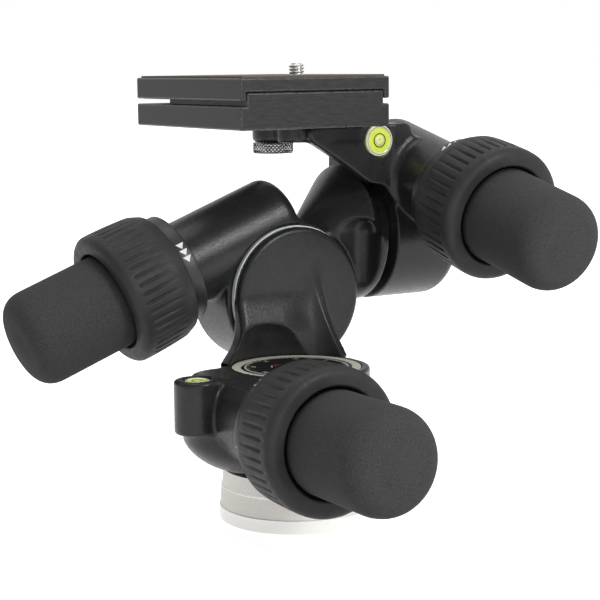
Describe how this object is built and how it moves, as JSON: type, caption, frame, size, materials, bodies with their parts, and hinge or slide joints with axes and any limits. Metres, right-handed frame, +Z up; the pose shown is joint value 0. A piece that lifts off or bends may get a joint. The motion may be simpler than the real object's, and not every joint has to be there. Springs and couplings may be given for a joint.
{
  "type": "geared tripod head",
  "caption": "Geared tripod head: a pan base and two tilt axes, each driven by a worm knob with a quick-set collar, under a sliding camera plate.",
  "frame": {"origin": "centre of the tripod socket's mouth, on the pan axis and in the tripod face", "axes": "+Z up along the pan axis, -Y towards the pan knob, +X towards the side drum"},
  "size_m": [0.2001, 0.1991, 0.1716],
  "materials": {
    "silver_cast": "sandblasted",
    "silver_bright": "machined",
    "casting": "black textured powder paint",
    "anodised": "dark anodised, brushed",
    "brass": "satin",
    "steel": "ground",
    "dial_black": "satin",
    "dial_cream": "satin",
    "bright_ring": "satin",
    "vial": "clear yellow green",
    "grip": "matt, grainy",
    "collar": "satin, ribbed",
    "index": "satin with white marks",
    "pad": "matt"
  },
  "bodies": {
    "base": {"base_foot": "silver_cast", "base_collar": "silver_cast", "tripod_bush": "brass", "base_screws": "steel", "pan_spindle": "steel", "pan_wheel": "brass", "pan_dial": "dial_black"},
    "pan_unit": {"pan_housing": "casting", "column": "casting", "dial_ring": "dial_cream", "pan_vial": "vial", "pan_bearing": "brass", "tilt_spindle": "steel", "tilt_wheel": "brass", "tilt_washer": "bright_ring", "pan_pivots": "steel", "pan_index": "index", "pan_clip": "steel"},
    "tilt_unit": {"tilt_housing": "casting", "tilt_bearing": "brass", "tilt_cap": "casting", "side_spindle": "steel", "side_wheel": "brass", "side_washer": "casting", "tilt_pivots": "steel", "tilt_index": "index", "tilt_clip": "steel"},
    "platform": {"side_housing": "casting", "side_bearing": "brass", "side_cap": "casting", "side_vial": "vial", "block": "anodised", "block_screws": "steel", "side_pivots": "steel", "side_index": "index", "side_clip": "steel"},
    "plate": {"camera_plate": "anodised", "plate_pad": "pad"},
    "camera_screw": {"camera_screw": "steel"},
    "lock_knob": {"lock_knob": "silver_bright"},
    "pan_collar": {"pan_collar": "collar", "pan_spring": "steel"},
    "pan_cradle": {"pan_cradle": "steel"},
    "pan_knob": {"pan_grip": "grip", "pan_hub": "silver_bright", "pan_worm": "steel"},
    "tilt_collar": {"tilt_collar": "collar", "tilt_spring": "steel"},
    "tilt_cradle": {"tilt_cradle": "steel"},
    "tilt_knob": {"tilt_grip": "grip", "tilt_hub": "silver_bright", "tilt_worm": "steel"},
    "side_collar": {"side_collar": "collar", "side_spring": "steel"},
    "side_cradle": {"side_cradle": "steel"},
    "side_knob": {"side_grip": "grip", "side_hub": "silver_bright", "side_worm": "steel"}
  },
  "joints": [
    {"name": "pan", "type": "hinge", "parent": "base", "child": "pan_unit", "pos_m": [0, 0, 0.0448], "axis": [0, 0, 1], "continuous": true},
    {"name": "tilt", "type": "hinge", "parent": "pan_unit", "child": "tilt_unit", "pos_m": [0.016, 0.0435, 0.0805], "axis": [0, 1, 0], "range_deg": [-30, 90]},
    {"name": "side_tilt", "type": "hinge", "parent": "tilt_unit", "child": "platform", "pos_m": [0.0744, 0.0435, 0.1029], "axis": [-1, 0, 0], "range_deg": [-30, 90]},
    {"name": "plate_slide", "type": "slide", "parent": "platform", "child": "plate", "axis": [0, 1, 0], "range_m": [-0.02, 0.02]},
    {"name": "camera_screw_turn", "type": "hinge", "parent": "plate", "child": "camera_screw", "pos_m": [0.0276, 0.0435, 0.165], "axis": [0, 0, 1], "continuous": true},
    {"name": "lock_turn", "type": "hinge", "parent": "platform", "child": "lock_knob", "pos_m": [0.0162, 0.0435, 0.138], "axis": [0, 0, 1], "range_deg": [-180, 180]},
    {"name": "pan_quick_set", "type": "hinge", "parent": "pan_unit", "child": "pan_collar", "pos_m": [-0.028, 0, 0.0448], "axis": [0, -1, 0], "range_deg": [0, 80], "stiffness_Nm_per_rad": 0.2},
    {"name": "pan_lift", "type": "hinge", "parent": "pan_unit", "child": "pan_cradle", "pos_m": [-0.028, -0.0437, 0.0448], "axis": [0, 0, 1], "range_deg": [0, 2]},
    {"name": "pan_knob_turn", "type": "hinge", "parent": "pan_cradle", "child": "pan_knob", "pos_m": [-0.028, 0, 0.0448], "axis": [0, -1, 0], "continuous": true},
    {"name": "tilt_quick_set", "type": "hinge", "parent": "tilt_unit", "child": "tilt_collar", "pos_m": [0.00592, 0.0435, 0.10662], "axis": [-0.933, 0, -0.36], "range_deg": [0, 80], "stiffness_Nm_per_rad": 0.2},
    {"name": "tilt_lift", "type": "hinge", "parent": "tilt_unit", "child": "tilt_cradle", "pos_m": [-0.0313, 0.0435, 0.09226], "axis": [0, -1, 0], "range_deg": [0, 2]},
    {"name": "tilt_knob_turn", "type": "hinge", "parent": "tilt_cradle", "child": "tilt_knob", "pos_m": [0.00592, 0.0435, 0.10662], "axis": [-0.933, 0, -0.36], "range_deg": [-4320, 1440]},
    {"name": "side_quick_set", "type": "hinge", "parent": "platform", "child": "side_collar", "pos_m": [0.0744, 0.03663, 0.13004], "axis": [0, -0.9694, -0.2453], "range_deg": [0, 80], "stiffness_Nm_per_rad": 0.2},
    {"name": "side_lift", "type": "hinge", "parent": "platform", "child": "side_cradle", "pos_m": [0.0744, -0.00379, 0.11982], "axis": [1, 0, 0], "range_deg": [0, 2]},
    {"name": "side_knob_turn", "type": "hinge", "parent": "side_cradle", "child": "side_knob", "pos_m": [0.0744, 0.03663, 0.13004], "axis": [0, -0.9694, -0.2453], "range_deg": [-4320, 1440]}
  ],
  "couplings": [
    {"joint": "pan_lift", "follows": "pan_quick_set", "ratio": 0.025},
    {"joint": "pan_knob_turn", "follows": "pan", "ratio": 48},
    {"joint": "tilt_lift", "follows": "tilt_quick_set", "ratio": 0.025},
    {"joint": "tilt_knob_turn", "follows": "tilt", "ratio": -48},
    {"joint": "side_lift", "follows": "side_quick_set", "ratio": 0.025},
    {"joint": "side_knob_turn", "follows": "side_tilt", "ratio": -48}
  ]
}
